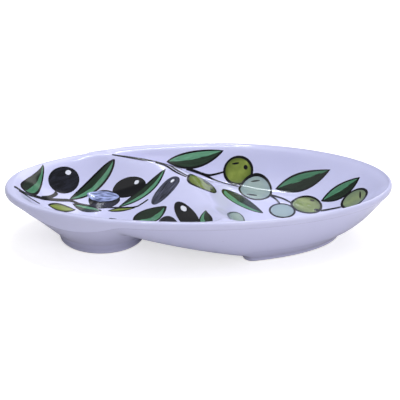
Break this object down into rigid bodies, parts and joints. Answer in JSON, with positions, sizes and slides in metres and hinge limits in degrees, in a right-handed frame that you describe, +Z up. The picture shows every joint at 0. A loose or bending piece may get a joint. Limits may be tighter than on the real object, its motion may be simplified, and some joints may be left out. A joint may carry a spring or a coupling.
{
  "type": "olive dish",
  "caption": "Oval glazed earthenware olive dish: a deep well for olives and a round well for their stones, parted by a low slanting saddle, with a rolled lip and foot rings.",
  "frame": {"origin": "on the table, under the middle of the oval rim", "axes": "+X along the dish from the stone well to the olive well, +Y across it to the back, +Z up"},
  "size_m": [0.2, 0.099, 0.0303],
  "materials": {
    "white_glaze": "clear gloss glaze over cool white earthenware, hand painted inside",
    "foot_glaze": "gloss glaze, wiped thin where the ring stands"
  },
  "bodies": {
    "root": {"olive_well": "white_glaze", "pit_well": "white_glaze", "divider": "white_glaze", "rim_lip": "white_glaze", "olive_foot": "foot_glaze", "pit_foot": "foot_glaze"}
  },
  "joints": []
}
